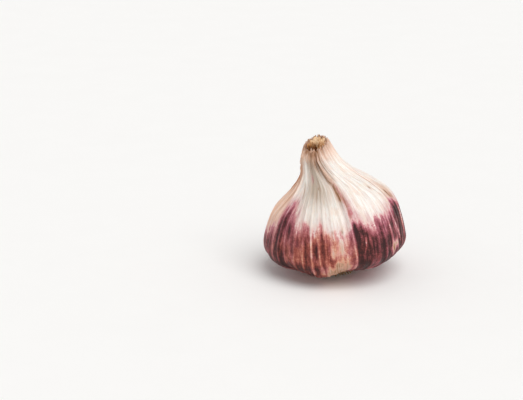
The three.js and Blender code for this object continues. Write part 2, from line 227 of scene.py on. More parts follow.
# Small brown spots, as azimuth, share and size in degrees
SPOTS = [
    (9.6, 0.422, 1.3), (9.6, 0.532, 1), (1.6, 0.532, 0.9), (16, 0.398, 0.7), (3, 0.505, 0.6),
    (-7, 0.44, 0.7), (12.5, 0.47, 0.7), (5.2, 0.494, 1.1), (13.2, 0.508, 1.2), (11.8, 0.452, 1.3),
    (60, 0.7, 1), (-10, 0.735, 0.8), (120, 0.72, 1.1), (-140, 0.66, 1.2),
]
SPOT_HEIGHT = 0.009  # share up the skin for each degree of a spot's size

# Loose flaps of skin, as azimuth of the root and reach round the bulb, share from and to, and lift
FLAPS = [
    (24, -8.6, 0.655, 0.975, 0.55), (-68, -10, 0.7, 0.95, 0.6), (33, -4.5, 0.8, 0.95, 0.35),
    (-36, -5, 0.86, 0.985, 0.4), (128, 9, 0.52, 0.84, 0.45), (203, -7, 0.56, 0.95, 0.5),
    (262, 6, 0.64, 0.9, 0.4),
]
FLAP_THICKNESS = 0.12
FLAP_ROWS = 72
FLAP_COLUMNS = 9
FLAP_SUNK = 0.25  # depth of its root in the skin
FLAP_LENGTH = 90.0  # of any flap, in the units of the tears below
FLAP_TEARS = [(301, 9, 0.3), (311, 2, 0.18)]  # seed, length and depth as a part of the reach
FLAP_TAPER = 0.45
FLAP_CURL = 1.3
FLAP_FLUTTER = 0.12

# Frayed strips on the torn rim. Pairs are the least and the most that is drawn for one strip.
SHREDS = 22
SHRED_ROWS = 9
SHRED_COLUMNS = 7
SHRED_WIDTH = (10.0, 24.0)
SHRED_HEIGHT = (0.3, 1.1)
SHRED_BEND = (-0.792, 0.408)
SHRED_LEAN = (-4.0, 4.0)
SHRED_SUNK = 0.9
SHRED_INSET = 0.35
SHRED_TAPER = 0.55

# The neck's dried core. Heights are above the cut.
CORE_COLUMNS = 160
CORE_RINGS = 34
CORE_HEIGHT = -2.3  # on the cut's low side
CORE_RISE = 2.1  # to its high side
CORE_FOLDS = 1.1
CORE_FRAY = 0.8
CORE_MARGIN = 0.25  # kept from the cup's floor, and grown into its wall
GOLDEN_SIDE = (0.5, 0.85)  # from the middle towards the high side of the cut
HOLLOW_AT = (-2.0, -1.2)  # its dark hollow, from the axis of the neck along X and Y
HOLLOW_EDGE = (1.9, 3.1)
HOLLOW_DEPTH = 1.2

# The leaf bases in it, as radius, lobes, and height on the cut's low and high side, and their wall's
# profile as inset and share of the way up
SHEATHS = [
    (3.5, 6, -0.8, 0.1), (2.95, 5, -1.2, 0.4), (2.3, 4, -1.5, 0.6), (1.6, 3, -1.5, 0.7),
    (0.85, 3, -1.3, 0.5),
]
SHEATH_WALL = [
    (0, 0), (0, 0.5), (0.02, 0.85), (0.07, 1), (0.15, 1), (0.22, 0.85), (0.26, 0.5), (0.26, 0),
]
SHEATH_FOOT = -2.8
SHEATH_CRUMPLE = (0.3, 0.12)

# The fibres that stand in it
FIBRES = 60
FIBRE_ROWS = 6
FIBRE_SIDES = 5
FIBRE_FOOT = -2.4
FIBRE_REACH = (0.1, 1.2)
FIBRE_RADIUS = (0.16, 0.26)
FIBRE_TAPER = 0.6

# The root plate, and its rings of roots as count, radius, lean, length and width
PLATE_OUTLINE = [(5.3, 0), (6.4, 0.3), (7.6, 1.2), (8.2, 2.2), (8.0, 2.9)]
PLATE_COLUMNS = 180
PLATE_ROWS = 24
PLATE_ROUGHNESS = 0.5
ROOT_RINGS = [(26, 6.3, 14, 1.8, 0.7), (34, 7.0, 26, 2.2, 0.66), (38, 7.7, 42, 2.2, 0.62)]
ROOT_TAPER = (1.1, 1.0, 0.92, 0.95, 0.85)
ROOT_SIDES = 8
ROOT_START = 2.0  # height at which a root leaves the plate
ROOT_SUNK = 0.5
ROOT_CLEARANCE = 0.1

# The camera, as the photograph was taken: its place is given along its own axes, from the origin
PITCH = 17.3
DISTANCE = 600.0
LENS = 101.2
SENSOR = 36.0
NEAREST = 0.05
ASIDE = -28.8
ABOVE = 28.5

# Soft studio light: a sky that is brighter low down, and a broad key from above on the right
SKY_STRENGTH = 0.5
HORIZON_STRENGTH = 1.0
HORIZON_BAND = (0.12, 0.4)  # heights between which the sky changes over
KEY_STRENGTH = 1.8
KEY_SOFTNESS = 50.0
KEY_FROM = (0.3, -0.45, 0.85)
FLOOR_SIZE = 6.0

# Colours, as red, green and blue on a screen, from 0 to 255
IVORY = (249, 247, 242)
IVORY_SHADE = (235, 225, 216)
CREAM = (240, 214, 194)
FAWN = (216, 198, 190)
THREAD = (196, 164, 144)
# Grey of thin skin, and painted shade
THIN_SKIN_AND_SHADE = (182, 164, 146)
DRIED_LIGHT = (246, 204, 178)
DRIED_DARK = (216, 160, 128)
FLUSH = (190, 116, 122)
# Brown dirt, and painted shade
DIRT_AND_SHADE = (142, 90, 44)
GRIT = (112, 72, 56)
DENSITIES = (0, 0.25, 0.45, 0.65, 0.85, 1)  # at which the purples and browns lie
PURPLES = [
    (236, 200, 192), (206, 146, 152), (170, 97, 110), (132, 66, 76), (86, 40, 43), (50, 22, 25),
]
BROWNS = [
    (236, 202, 178), (212, 152, 126), (178, 100, 84), (136, 64, 54), (92, 38, 32), (54, 22, 18),
]
STALK = [(222, 170, 112), (160, 98, 50)]
BRIGHT_STALK = [(255, 232, 198), (230, 184, 134)]
# Painted shade deep in the neck
SHADED_STALK = [(132, 76, 36), (74, 36, 14)]
CORK = [(206, 178, 140), (150, 116, 80)]
CORK_GRIT = (96, 68, 44)
# Painted shade under the bulb
SHADED_CORK = (112, 80, 52)
FLOOR = [(250, 249, 247), (247, 246, 244)]

# Noises in the skin, as cells per millimetre across the fibres and along them, detail and roughness
GRAINS = {
    "fine": (2.6, 0.12, 3.0, 0.55),
    "streak": (0.9, 0.06, 4.0, 0.65),
    "blotch": (0.3, 0.2, 4.0, 0.6),
    "mottle": (0.42, 0.16, 5.0, 0.7),
    "wrinkle": (0.5, 1.0, 4.0, 0.65),
    "grit": (2.4, 2.4, 5.0, 0.7),
    "thread": (1.3, 0.05, 2.0, 0.55),
    "crackle": (0.8, 0.6, 3.0, 0.55),
}
GRAIN_RADIUS = 28.0  # of the skin laid out round and up in millimetres for them
GRAIN_HEIGHT = 95.0
THREAD_WIDTH = 0.035
CRACKLE_WIDTH = 0.025
WAVERS = [  # noises that move the purple, by half their usual range, and how far that moves it
    ("fine", 0.15, 0.05), ("streak", 0.12, 0.07), ("grit", 0.15, 0.1), ("wrinkle", 0.12, 0.05),
    ("mottle", 0.15, 0.2),
]
SUBSURFACE = {
    "Subsurface Weight": 0.1,
    "Subsurface Radius": (1.0, 0.6, 0.4),
    "Subsurface Scale": 1.5 * MM,
}


def smooth(x, low, high):
    """0 up to low, 1 from high on, and a smooth step between them."""
    s = np.clip((x - low) / (high - low), 0, 1)
    return s * s * (3 - 2 * s)


def between(x, start, full, fade, end):
    """0 up to start, 1 from full to fade, and 0 again from end on."""
    return smooth(x, start, full) * (1 - smooth(x, fade, end))


def bell(x, middle, width):
    return np.exp(-(((x - middle) / width) ** 2))


def apart(a, b):
    """How far azimuth a is beyond b, from -180 to 180."""
    return (a - b + 180) % 360 - 180


def turns(count):
    """Azimuths evenly spaced all the way round."""
    return np.arange(count) * 360 / count


def draw(index, seed):
    """Values from 0 to 1 that are the same on every run."""
    x = np.sin(index * 12.9898 + seed * 78.233) * 43758.5453
    return x - np.floor(x)


def drawn(index, seed, low, high):
    """Such values, from low to high."""
    return low + (high - low) * draw(index, seed)


def wander(x, seed, step):
    """A smooth random line from 0 to 1 along x, with a new value at each step."""
    place = x / step
    i = np.floor(place)
    w = smooth(place - i, 0, 1)
    return draw(i, seed) * (1 - w) + draw(i + 1, seed) * w


def strip_noise(strip, t, seed, length):
    """Random from 0 to 1 up one strip of skin: its own level, and a line that wanders."""
    line = wander(t + 7.3 * draw(strip, seed + 1), seed, length)
    return 0.6 * draw(strip, seed + 2) + 0.4 * line


def around_noise(azimuth, t, seed, cells, length):
    """Random from 0 to 1 in cells round the bulb, each so long up the skin, with no seam."""
    place = (azimuth % 360) / 360 * cells
    i = np.floor(place)
    w = smooth(place - i, 0, 1)
    left = strip_noise(i % cells, t, seed, length)
    right = strip_noise((i + 1) % cells, t, seed, length)
    return left * (1 - w) + right * w


def scatter(x, y, seed):
    """Smooth random from 0 to 1 over the plane, with a cell of 1."""
    i, j = np.floor(x), np.floor(y)
    u, v = smooth(x - i, 0, 1), smooth(y - j, 0, 1)
    cell = i * 57.0 + j * 131.0
    low = draw(cell, seed) * (1 - u) + draw(cell + 57.0, seed) * u
    high = draw(cell + 131.0, seed) * (1 - u) + draw(cell + 188.0, seed) * u
    return low * (1 - v) + high * v


def interpolate(x, table):
    """The value at x on the line through a table's rows of place and value."""
    return np.interp(x, [row[0] for row in table], [row[1] for row in table])


# Shape


def spline(points, t):
    """Points and unit tangents of a uniform Catmull-Rom curve."""
    p = np.array(points, float)
    last = len(p) - 1
    place = np.clip(t, 0, 1) * last
    i = np.minimum(np.floor(place).astype(int), last - 1)
    w = (place - i)[..., None]
    before, start, end, after = p[np.maximum(i - 1, 0)], p[i], p[i + 1], p[np.minimum(i + 2, last)]
    leaving = (end - before) / 2
    arriving = (after - start) / 2
    cubic = 2 * start - 2 * end + leaving + arriving
    square = -3 * start + 3 * end - 2 * leaving - arriving
    point = cubic * w**3 + square * w**2 + leaving * w + start
    slope = 3 * cubic * w**2 + 2 * square * w + leaving
    return point, slope / np.linalg.norm(slope, axis=-1, keepdims=True)


def around(azimuth, radius, z):
    """A point on the ring of this radius and height."""
    a = np.radians(azimuth)
    return np.stack(np.broadcast_arrays(radius * np.sin(a), -radius * np.cos(a) * DEPTH_SHARE, z), -1)


def settle(points):
    """Leans the neck, tilts the waist and keeps all above the surface that the bulb stands on."""
    x, y, z = points[..., 0], points[..., 1], points[..., 2]
    tilted = z + WAIST_TILT * smooth(z, 0, TILT_FROM) * x
    lean = NECK_LEAN * (np.maximum(z, 0) / NECK_TOP) ** LEAN_POWER
    return np.stack([x + lean, y, np.maximum(tilted, 0)], -1)


def vein_list():
    """The azimuths and heights of the main veins."""
    i = np.arange(VEINS)
    azimuth = FOLD_AT + i * 360 / VEINS + np.where(i > 0, VEIN_PLAY * (draw(i, 1) - 0.5), 0)
    return azimuth, VEIN_HEIGHT * drawn(i, 2, *VEIN_SHARES)


def clove_bulge(azimuth, z):
    total = 0
    for i, (valley, foot, waist, shoulder) in enumerate(CLOVES):
        span = (CLOVES[(i + 1) % len(CLOVES)][0] - valley) % 360
        share = ((azimuth - valley) % 360) / span
        arch = np.maximum(np.where(share < 1, np.sin(np.pi * np.clip(share, 0, 1)), 0), 0)
        body = waist * bell(z, *WAIST_AT) + shoulder * bell(z, *SHOULDER_AT)
        total = total + foot * bell(z, *FOOT_AT) * arch**FOOT_ROUNDNESS + body * arch**BODY_ROUNDNESS
    return total


def pleats(azimuth, z):
    a = np.radians(azimuth)
    waves = sum(depth * np.cos(count * a + start) for count, depth, start in PLEATS)
    fade = 1 - PLEATS_FADE * smooth(z, PLEATS_FADE_FROM, NECK_TOP)
    return waves * smooth(z, PLEATS_FROM, PLEATS_FULL_AT) * fade


def main_vein(index, off, z, height):
    """The standing fold, the loosened margin or one of the other veins, this far off its crest."""
    if index == 0:
        rise = FOLD_HEIGHT * smooth(z, 8, 15) * (1 - 0.5 * smooth(z, 44, NECK_TOP))
        return rise * np.where(off < 0, bell(off, 0, FOLD_WIDTHS[0]), bell(off, 0, FOLD_WIDTHS[1]))
    if index == LOOSE_VEIN:
        return LOOSE_HEIGHT * smooth(z, *LOOSE_RISES) * bell(off, 0, LOOSE_WIDTH)
    fade = smooth(z, 1.5, 6) * (1 - 0.65 * smooth(z, 30, 46))
    return height * fade * bell(off, 0, VEIN_WIDTH)


def vein_relief(azimuth, z):
    """Raised veins: the frame's, then finer ones between them."""
    middles, heights = vein_list()
    relief = 0
    fine_fade = smooth(z, 2, 6) * (1 - 0.4 * smooth(z, 34, 48))
    for i, (middle, height) in enumerate(zip(middles, heights)):
        relief = relief + main_vein(i, apart(azimuth, middle), z, height)
        following = middles[i + 1] if i + 1 < VEINS else middles[0] + 360
        for k in range(1, FINE_VEINS + 1):
            number = i * 7 + k
            share = (k + drawn(number, 5, -FINE_VEIN_PLAY, FINE_VEIN_PLAY)) / (FINE_VEINS + 1)
            off = apart(azimuth, middle + (following - middle) * share)
            fine = FINE_VEIN_HEIGHT * drawn(number, 6, *FINE_VEIN_SHARES)
            relief = relief + fine * fine_fade * bell(off, 0, FINE_VEIN_WIDTH)
    return relief


def leaf_lap(azimuth, z):
    """The outer leaf's thickness, from the fold on round the right side."""
    past = (azimuth - FOLD_AT) % 360
    reach = np.where(past < 180, 1 - smooth(past, *LAP_REACH), 0) * smooth(past, 0, LAP_EDGE)
    return LAP * reach * smooth(z, LAP_FROM, TILT_FROM)


def cut_slant(azimuth, radius):
    return -CUT_SLOPE * (radius / NECK_RIM) * np.cos(np.radians(azimuth - CUT_FACES))


def neck_point(azimuth, radius, below):
    """A point inside the neck, this far below the slanting cut."""
    return settle(around(azimuth, radius, NECK_TOP - below + cut_slant(azimuth, radius)))


def torn(azimuth):
    """How far the torn rim stands up here: broad tongues with frayed edges, and splits."""
    turn = azimuth % 360
    broad = wander(turn, 3, 30) - 0.5
    frayed = wander(turn, 4, 5) - 0.5
    split = smooth(wander(turn, 5, 12), 0.72, 0.95)
    level = 0.7 * broad + 0.9 * frayed - 0.7 * split
    return RAGGED * level * between(turn, 0, 8, 352, 360)


def crinkle(azimuth, t):
    """The skin's slight unevenness, longer up the bulb than across."""
    broad = around_noise(azimuth, t, *BROAD_CRINKLE) - 0.5
    narrow = around_noise(azimuth, t, *NARROW_CRINKLE) - 0.5
    return CRINKLE_HEIGHTS[0] * broad + CRINKLE_HEIGHTS[1] * narrow


def swayed(azimuth, z):
    """The front columns swing round on their way up the neck."""
    share = smooth(z, SWAY_FROM, SWAY_FULL_AT) * bell(apart(azimuth, FOLD_AT), 0, SWAY_REACH)
    return azimuth + NECK_SWAY * share


def half_outline(azimuth, t):
    """Radius and height on the skin without relief, and the unit direction up along it."""
    share = ((0.5 + 0.5 * np.cos(np.radians(azimuth - TENT_FACES))) ** TENT_POWER)[..., None]
    slack, slack_along = spline(SLACK_SIDE, t)
    tented, tented_along = spline(TENTED_SIDE, t)
    along = slack_along * (1 - share) + tented_along * share
    along = along / np.linalg.norm(along, axis=-1, keepdims=True)
    return slack * (1 - share) + tented * share, along


def skin_relief(azimuth, t, height):
    """How far the skin stands out from that outline."""
    bulge = clove_bulge(azimuth, height) * smooth(t, BULGES_FROM, BULGES_FULL_AT)
    raised = vein_relief(azimuth, height) + leaf_lap(azimuth, height) + RIB_HEIGHT * pale_ribs(azimuth, t)
    uneven = crinkle(azimuth, t) * smooth(t, BULGES_FROM, 0.1)
    return bulge + pleats(azimuth, height) + raised + uneven - creases(azimuth, t, 0)


def skin_surface(azimuth, t, lift=0.0):
    """Points on the outer skin, raised by lift."""
    outline, along = half_outline(azimuth, t)
    radius, height = outline[..., 0], outline[..., 1]
    out = skin_relief(azimuth, t, height) + lift
    true = swayed(azimuth, height)
    cut = (cut_slant(true, NECK_RIM) + torn(azimuth)) * smooth(height, CUT_FROM, NECK_TOP)
    return settle(around(true, radius + along[..., 1] * out, height - along[..., 0] * out + cut))


# Meshes


def grid_faces(rows, columns, closed=True):
    """Quads over a grid of points, facing out when it runs upwards and to the right."""
    steps = columns if closed else columns - 1
    r, c = np.meshgrid(np.arange(rows - 1), np.arange(steps), indexing="ij")
    after = (c + 1) % columns
    corners = [(r, c), (r, after), (r + 1, after), (r + 1, c)]
    return np.stack([row * columns + column for row, column in corners], -1).reshape(-1, 4)


def ring_faces(rows, columns, bottom=True, top=True):
    """Quads between rings of points, and a face over the first and the last of them."""
    faces = grid_faces(rows, columns).tolist()
    if bottom:
        faces.append(list(range(columns))[::-1])
    if top:
        faces.append([(rows - 1) * columns + c for c in range(columns)])
    return faces


def placed(name, data):
    """A new object in the scene."""
    obj = bpy.data.objects.new(name, data)
    bpy.context.scene.collection.objects.link(obj)
    return obj


class Shape:
    """Points, faces and values for each point, gathered for one mesh."""

    def __init__(self):
        self.points = []
        self.faces = []
        self.values = {}
        self.count = 0

    def add(self, points, faces, **values):
        points = points.reshape(-1, 3)
        self.points.append(points)
        self.faces += [[int(i) + self.count for i in face] for face in faces]
        for name, value in values.items():
            size = (len(points), 3) if value.shape[-1] == 3 else (len(points),)
            self.values.setdefault(name, []).append(value.reshape(size))
        self.count += len(points)

    def build(self, name, material, replaced):
        """The mesh in metres, which rides on the bulb's one body and replaces a node of the frame."""
        mesh = bpy.data.meshes.new(name)
        mesh.from_pydata((np.concatenate(self.points) * MM).tolist(), [], self.faces)
        for attribute, parts in self.values.items():
            data = np.concatenate(parts).astype(np.float32)
            kind = "FLOAT_VECTOR" if data.ndim == 2 else "FLOAT"
            layer = mesh.attributes.new(attribute, kind, "POINT")
            layer.data.foreach_set("vector" if data.ndim == 2 else "value", data.ravel())
        mesh.materials.append(material)
        mesh.shade_smooth()
        mesh.update()
        obj = placed(name, mesh)
        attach(obj, "root")
        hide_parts(replaced)


# Where the skin's colours lie, by azimuth and share up the skin


def zone(azimuth, t, place):
    """1 in the middle of a soft zone, 0 outside it."""
    middle, width, *shares = place
    return bell(azimuth, middle, width) * between(t, *shares)


def oval(azimuth, t, place):
    """1 in the middle of a soft oval, 0 outside it."""
    middle, width, height, length = place
    return bell(azimuth, middle, width) * bell(t, height, length)


def along_line(azimuth, t, foot, head, width, low, high):
    """1 on a line that runs from azimuth foot, at share low, to azimuth head, at share high."""
    middle = foot + (head - foot) * (t - low) / (high - low)
    reach = between(t, low - 0.02, low + 0.02, high - 0.02, high + 0.02)
    return bell(apart(azimuth, middle), 0, width) * reach


def creases(azimuth, t, column):
    """The sum of the creases' depths here for column 0, and of their painted shade for column 1."""
    total = 0
    for foot, head, width, low, high, *amounts in CREASES:
        total = total + amounts[column] * along_line(azimuth, t, foot, head, width, low, high)
    return total


def vein_ridges(azimuth):
    """About 1 along each of the main veins, falling to 0 between them."""
    middles, heights = vein_list()
    total = 0
    for middle, height in zip(middles[1:], heights[1:]):
        total = total + min(height / VEIN_HEIGHT, 1.2) * bell(apart(azimuth, middle), 0, 1.1)
    return total


def pale_ribs(azimuth, t):
    """Where veins show pale through the purple: those in view listed, the hidden ones at random."""
    pale = 0
    for foot, head, width, low, high, strength in PALE_RIBS:
        pale = np.maximum(pale, strength * along_line(azimuth, t, foot, head, width, low, high))
    hidden = smooth(np.abs(apart(azimuth, 0)), *OUT_OF_VIEW) * between(t, 0.3, 0.36, 0.62, 0.66)
    stripes = smooth(around_noise(azimuth, t, *HIDDEN_RIBS), 0.66, 0.82)
    return np.maximum(pale, 0.7 * stripes * hidden)


def bare_patches(azimuth, t):
    """Where the purple gives way: a patch on the right, one in front, and the underside."""
    uneven = around_noise(azimuth, t, *BARE_EDGES) - 0.5
    slant = BARE_SIDE_SLANT * (t - BARE_SIDE[2])
    side = smooth(oval(azimuth - slant, t, BARE_SIDE) + 0.7 * uneven, 0.22, 0.85)
    front = 0.7 * smooth(oval(azimuth, t, BARE_FRONT) + 0.7 * uneven, 0.3, 0.95)
    foot = 0.9 * bell(azimuth, 3, 14) * (1 - smooth(t + 0.08 * uneven, *UNDERSIDE))
    below = 0.45 * (1 - smooth(t + 0.12 * uneven, 0.2, 0.33))
    return np.clip(side + front + foot + below, 0, 1)


def purple_density(azimuth, t):
    """How dark the purple is, from 0, none, to nearly black."""
    ragged = around_noise(azimuth, t, *RAGGED_PURPLE) - 0.5
    broad = around_noise(azimuth, t, *BROAD_PURPLE) - 0.5
    cloudy = around_noise(azimuth, t, *CLOUDY_PURPLE) - 0.5
    below = interpolate(azimuth, PURPLE_TOP) - t + 0.03 * ragged + 0.035 * broad + 0.03 * cloudy
    further = smooth(below, 0, interpolate(azimuth, PURPLE_RISE))
    depth = EDGE_DEPTH * smooth(below, *PURPLE_EDGE) + (1 - EDGE_DEPTH) * further
    patchy = 1 + 0.4 * broad + 0.2 * ragged + 0.5 * cloudy
    density = depth * interpolate(azimuth, PURPLE_STRENGTH) * patchy
    density = density * (1.08 - 0.3 * vein_ridges(azimuth))
    # Painted shade: the purple deepens low down in front, under the bulb
    density = density + 0.25 * zone(azimuth, t, SHADED_FOOT)
    density = density * (1 - 0.62 * pale_ribs(azimuth, t))
    density = density * (1 - 0.96 * bare_patches(azimuth, t))
    return np.clip(density, 0, DEEPEST)


def warmth(azimuth, t):
    """How far the purple turns to a reddish brown: most in front and low down."""
    cloudy = around_noise(azimuth, t, *CLOUDY_WARMTH) - 0.5
    front = bell(azimuth, -16, 34)
    low = 1 - smooth(t, 0.43, 0.57)
    return np.clip(front * (0.3 + 0.65 * low) + 0.35 * low + 0.5 * cloudy, 0, 1)


def pink_flush(azimuth, t):
    """The thin rosy flush over the purple's upper edge and beside the fold."""
    streaks = smooth(around_noise(azimuth, t, *PINK_STREAKS), 0.3, 0.7)
    over = t - interpolate(azimuth, PURPLE_TOP)
    edge = bell(over, -0.005, 0.04) * (0.3 + 0.7 * streaks) * (1 - 0.55 * bell(azimuth, 6, 11))
    fold = 0.9 * zone(azimuth, t, FLUSH_BESIDE_FOLD) + zone(azimuth, t, FLUSH_ON_FOLD)
    left = 0.5 * oval(azimuth, t, FLUSH_LEFT)
    patch = 0.7 * oval(azimuth, t, FLUSH_PATCH)
    return np.clip(0.75 * edge + left + fold * (0.25 + 0.75 * streaks) + patch, 0, 1)


def tan_skin(azimuth, t):
    """Where the skin has dried tan: the left margin, right shoulder, fold, underside and neck."""
    patches = around_noise(azimuth, t, *TAN_PATCHES)
    left = between(-azimuth, *LEFT_MARGIN) * smooth(t, 0.36, 0.46) * (0.75 + 0.35 * patches)
    right = 0.5 * zone(azimuth, t, TAN_SHOULDER)
    fold = 0.8 * zone(azimuth, t, TAN_ON_FOLD)
    under = 0.8 * np.maximum(1 - smooth(t, 0.26, 0.4), 0.8 * bare_patches(azimuth, t))
    neck = 0.7 * smooth(t, *TAN_NECK)
    speckle = 0.35 * smooth(patches, 0.6, 0.9)
    return np.clip(np.maximum.reduce([left, right, fold, under, neck, speckle]), 0, 1)


def grey_and_valley_shade(azimuth, t):
    """Greyish cream: painted shade in the front valley and neck, and thin skin in the bare patches."""
    front = 0.25 * zone(azimuth, t, SHADED_FRONT) + 0.8 * zone(azimuth, t, SHADED_NECK)
    return front + 0.6 * bare_patches(azimuth, t)


def spots(azimuth, t):
    return sum(oval(azimuth, t, (at, size, share, size * SPOT_HEIGHT)) for at, share, size in SPOTS)


def dirt(azimuth, t):
    """Brown on the torn rim and in spots; painted shade in the creases, in front of the neck and below.
    """
    fleck = smooth(around_noise(azimuth, t, *FLECKS), 0.5, 0.75)
    # Brown flecks and a painted shadow along the fold
    fold = zone(azimuth - interpolate(t, FOLD_LINE), t, FOLD_DIRT_AND_SHADOW) * (0.3 + 0.9 * fleck)
    # Brown and painted shade in front of the neck
    neck = 0.85 * bell(azimuth, -4, 36) * smooth(t, 0.8, 0.9) * (0.7 + 0.4 * fleck)
    # Painted shade on the underside, and brown in the bare patches
    foot = 0.95 * bell(azimuth, 0, 80) * (1 - smooth(t, *UNDERSIDE)) + 0.6 * bare_patches(azimuth, t)
    right = 0.4 * zone(azimuth, t, DIRTY_SHOULDER) * (0.5 + fleck)
    blots = 0.6 * smooth(around_noise(azimuth, t, *BLOTS), 0.8, 0.95) * smooth(t, 0.5, 0.7)
    rim = 0.85 * smooth(t, *TORN_RIM) * (0.4 + 0.6 * bell(apart(azimuth, CUT_FACES), 0, 70))
    # The creases' painted shade, and the brown spots
    marks = creases(azimuth, t, 1) + spots(azimuth, t)
    return np.clip(marks + fold + neck + foot + right + blots + rim, 0, 1)


def skin_values(azimuth, t):
    """All that the skin's material reads at each point."""
    azimuth = apart(azimuth, 0)
    a = np.radians(azimuth)
    laid_out = (GRAIN_RADIUS * np.sin(a), GRAIN_RADIUS * np.cos(a), GRAIN_HEIGHT * t)
    return {
        "fibre": np.stack(np.broadcast_arrays(*laid_out), -1),
        "purple": purple_density(azimuth, t),
        "warm": warmth(azimuth, t),
        "pink": pink_flush(azimuth, t),
        "tan": tan_skin(azimuth, t),
        "grey": grey_and_valley_shade(azimuth, t),
        "dirt": dirt(azimuth, t),
    }


# Materials


def tone(colour):
    """A colour from 0 to 255 as seen on a screen, as light."""
    light = [((v / 255 + 0.055) / 1.055) ** 2.4 if v > 10 else v / 3294 for v in colour]
    return (*light, 1)


class Nodes:
    """The node tree of a material or the world, with short calls for the nodes used here."""

    def __init__(self, owner):
        self.owner = owner
        owner.use_nodes = True
        self.tree = owner.node_tree

    def node(self, kind, inputs=None, **settings):
        node = self.tree.nodes.new(kind)
        for key, value in settings.items():
            setattr(node, key, value)
        for key, value in (inputs or {}).items():
            self.feed(node.inputs[key], value)
        return node

    def feed(self, socket, value):
        if isinstance(value, bpy.types.NodeSocket):
            self.tree.links.new(value, socket)
        else:
            socket.default_value = value

    def attribute(self, name, vector=False):
        node = self.node("ShaderNodeAttribute", attribute_name=name)
        return node.outputs["Vector" if vector else "Fac"]

    def math(self, operation, a, b=0.0, clamp=False):
        return self.node("ShaderNodeMath", {0: a, 1: b}, operation=operation, use_clamp=clamp).outputs[0]

    def stretch(self, vector, scale):
        node = self.node("ShaderNodeVectorMath", {0: vector, 1: scale}, operation="MULTIPLY")
        return node.outputs["Vector"]

    def noise(self, vector, scale, detail=3.0, rough=0.55):
        inputs = {"Vector": vector, "Scale": scale, "Detail": detail, "Roughness": rough}
        return self.node("ShaderNodeTexNoise", inputs).outputs["Fac"]

    def grain(self, vector, across, along, detail, rough):
        """Noise that is stretched along the vector's third part."""
        return self.noise(self.stretch(vector, (across, across, along)), 1.0, detail, rough)

    def ramp(self, value, places, colours):
        """The colour at this value, between colours that lie at these places."""
        node = self.node("ShaderNodeValToRGB", {"Fac": value})
        elements = node.color_ramp.elements
        while len(elements) < len(places):
            elements.new(0.5)
        for element, place, colour in zip(elements, places, colours):
            element.position = place
            element.color = tone(colour)
        return node.outputs["Color"]

    def fit(self, value, low, high, start=0.0, end=1.0):
        """The value's range from low to high, fitted to the one from start to end."""
        node = self.node("ShaderNodeMapRange", {0: value, 1: low, 2: high, 3: start, 4: end})
        return node.outputs[0]

    def masked(self, name, noise, low, high):
        """The named value, made uneven by a noise that scales it from low to high."""
        return self.math("MULTIPLY", self.attribute(name), self.fit(noise, 0.38, 0.62, low, high), True)

    def thin_lines(self, value, width):
        """1 on thin lines where the value passes its middle, 0 elsewhere."""
        off = self.math("ABSOLUTE", self.math("SUBTRACT", value, 0.5))
        return self.fit(off, 0.0, width, 1.0, 0.0)

    def mix(self, factor, a, b):
        """Colour a, or b where the factor is 1. The node has its colours in sockets 6, 7 and 2."""
        node = self.node("ShaderNodeMix", {0: factor}, data_type="RGBA")
        for socket, colour in ((6, a), (7, b)):
            self.feed(node.inputs[socket], tone(colour) if isinstance(colour, tuple) else colour)
        return node.outputs[2]

    def bump(self, height, strength, distance, below=None):
        """Relief by this height, in millimetres, over the relief below."""
        inputs = {"Height": height, "Strength": strength, "Distance": distance * MM}
        if below is not None:
            inputs["Normal"] = below
        return self.node("ShaderNodeBump", inputs).outputs["Normal"]

    def finish(self, colour, roughness, normal, specular, others=()):
        inputs = {"Base Color": colour, "Roughness": roughness, "Normal": normal, **dict(others)}
        inputs["Specular IOR Level"] = specular
        for name, value in inputs.items():
            self.feed(self.tree.nodes["Principled BSDF"].inputs[name], value)
        return self.owner


def pale_skin(n, grain, threads):
    """Ivory with fine threads, under grey, dried tan, pink and dirt, grey and dirt partly painted shade.
    """
    base = n.mix(n.fit(grain["streak"], 0.38, 0.62), IVORY, IVORY_SHADE)
    base = n.mix(n.fit(grain["blotch"], 0.5, 0.68, 0.0, 0.5), base, CREAM)
    base = n.mix(n.fit(grain["mottle"], 0.5, 0.68, 0.0, 0.4), base, FAWN)
    base = n.mix(n.math("MULTIPLY", threads, 0.4), base, THREAD)
    # Grey: thin skin in the bare patches, painted shade in the front valley and neck
    base = n.mix(n.masked("grey", grain["fine"], 0.6, 1.1), base, THIN_SKIN_AND_SHADE)
    dried = n.mix(n.fit(grain["streak"], 0.4, 0.6), DRIED_LIGHT, DRIED_DARK)
    base = n.mix(n.masked("tan", grain["fine"], 0.6, 1.1), base, dried)
    base = n.mix(n.masked("pink", grain["mottle"], 0.35, 1.15), base, FLUSH)
    # Brown dirt, with painted shade in creases, by the fold, at the neck front, below and in the cup
    return n.mix(n.masked("dirt", grain["fine"], 0.5, 1.1), base, DIRT_AND_SHADE)


def purple_amount(n, grain, threads, crackle):
    """The purple's density, made uneven by the grains, lighter on threads and darker on cracks."""
    amount = n.attribute("purple")
    waver = 0.0
    for name, half, reach in WAVERS:
        waver = n.math("ADD", waver, n.fit(grain[name], 0.5 - half, 0.5 + half, -reach, reach))
    density = n.math("ADD", amount, n.math("MULTIPLY", waver, n.fit(amount, 0.02, 0.3)), True)
    density = n.math("SUBTRACT", density, n.math("MULTIPLY", threads, 0.06), True)
    cracks = n.math("MULTIPLY", crackle, n.fit(amount, 0.3, 0.6, 0.0, 0.1))
    return n.math("ADD", density, cracks, True)


